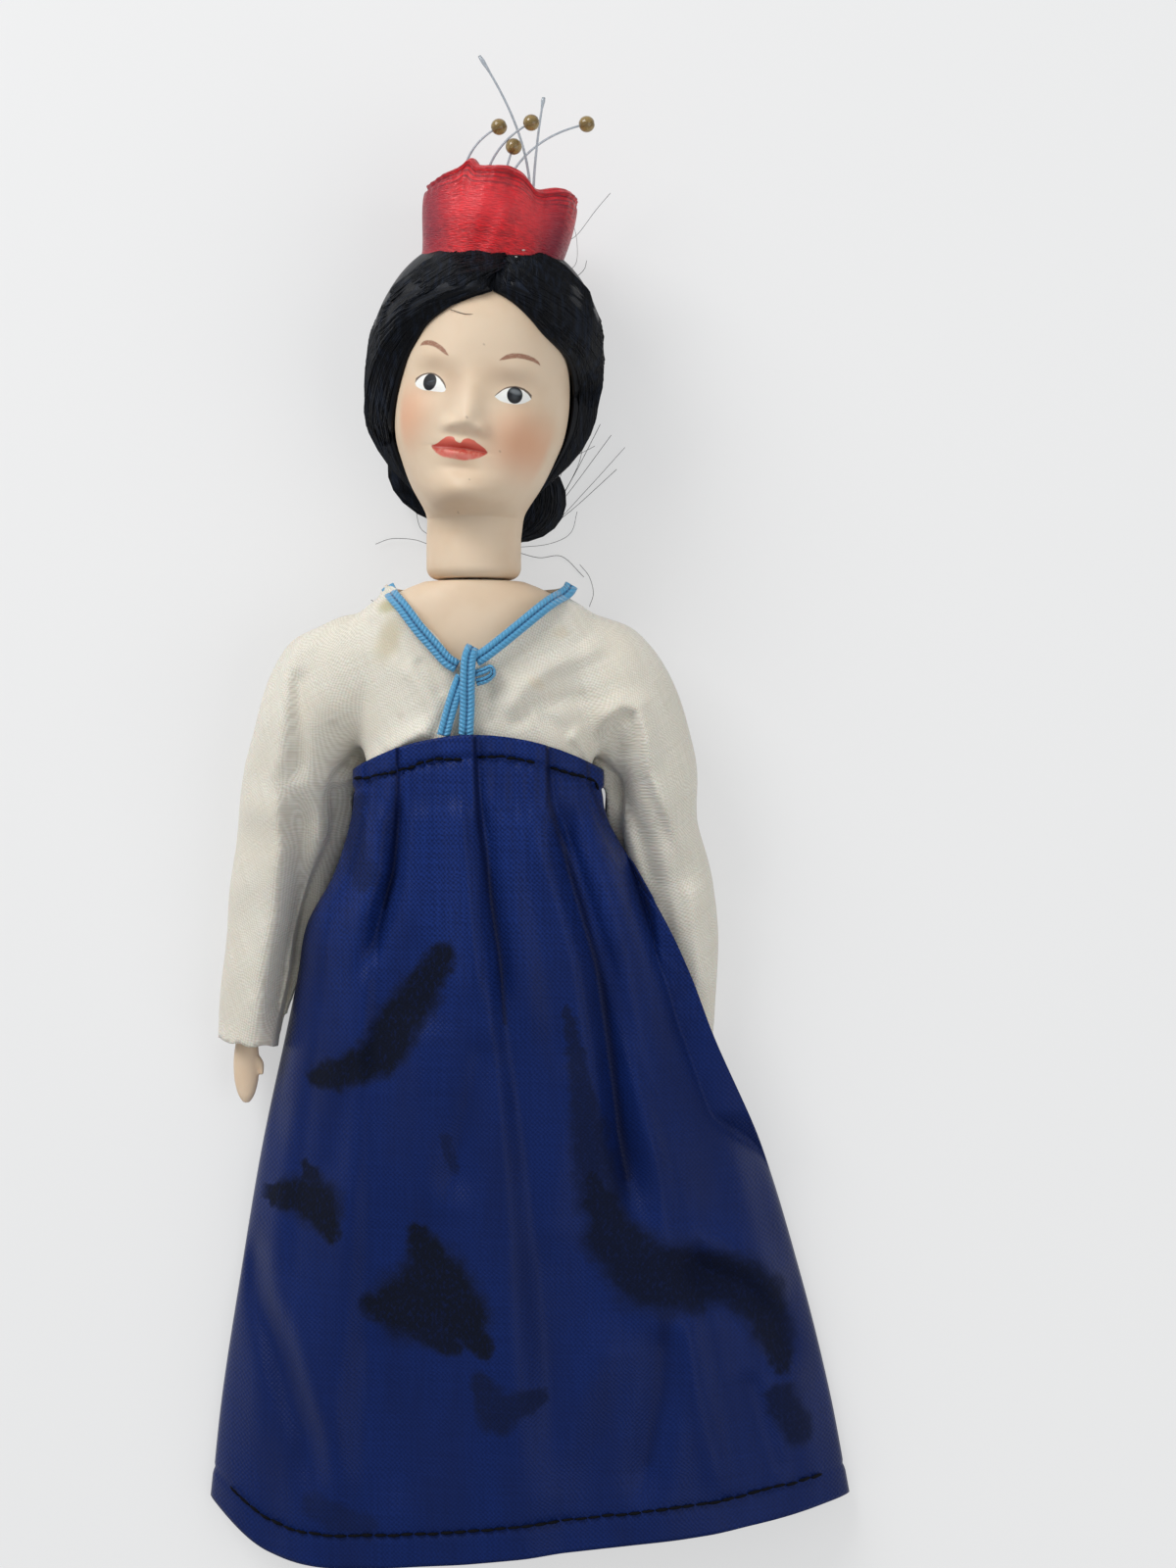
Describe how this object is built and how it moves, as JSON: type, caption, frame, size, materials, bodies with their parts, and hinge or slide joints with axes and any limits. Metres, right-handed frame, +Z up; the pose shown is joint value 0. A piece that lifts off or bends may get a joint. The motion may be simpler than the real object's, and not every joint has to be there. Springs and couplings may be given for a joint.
{
  "type": "porcelain doll",
  "caption": "Small bisque porcelain doll lying on its back, with a turning head, black wig, red satin coronet, ivory blouse, blue braid tie and pleated navy skirt.",
  "frame": {"origin": "centre of the bounding box in x and y, on the surface that the doll lies on", "axes": "+X to the viewer's right, +Y from the feet to the head, +Z up, the way the face looks"},
  "size_m": [0.0934, 0.2174, 0.031],
  "materials": {
    "bisque": "unglazed matt bisque",
    "hair": "black fibre with a soft sheen",
    "satin": "glossy red satin",
    "bristle": "clear nylon",
    "bead": "smoky gold glass",
    "elastic": "white covered elastic",
    "washer": "plain wood",
    "muslin": "unbleached plain weave",
    "blouse": "fine ivory plain weave",
    "braid": "sky blue soutache braid",
    "taffeta": "navy taffeta"
  },
  "bodies": {
    "figure": {"shoulder_plate": "bisque", "neck_elastic": "elastic", "cloth_body": "muslin", "upper_arm_left": "muslin", "upper_arm_right": "muslin", "arm_left": "bisque", "arm_right": "bisque", "thigh_left": "muslin", "thigh_right": "muslin", "leg_left": "bisque", "leg_right": "bisque", "blouse": "blouse", "braid_collar_left": "braid", "braid_collar_right": "braid", "braid_knot": "braid", "braid_tail_left": "braid", "braid_tail_right": "braid", "skirt": "taffeta"},
    "head": {"head": "bisque", "neck_washer": "washer", "wig": "hair", "chignon": "hair", "hat": "satin", "bristle_sprig": "bristle", "bead_left": "bead", "bead_middle": "bead", "bead_right": "bead", "bead_low": "bead"}
  },
  "joints": [
    {"name": "head_turn", "type": "hinge", "parent": "figure", "child": "head", "pos_m": [-0.0077, 0.03093, 0.0145], "axis": [0, 1, 0], "range_deg": [-80, 80]}
  ]
}
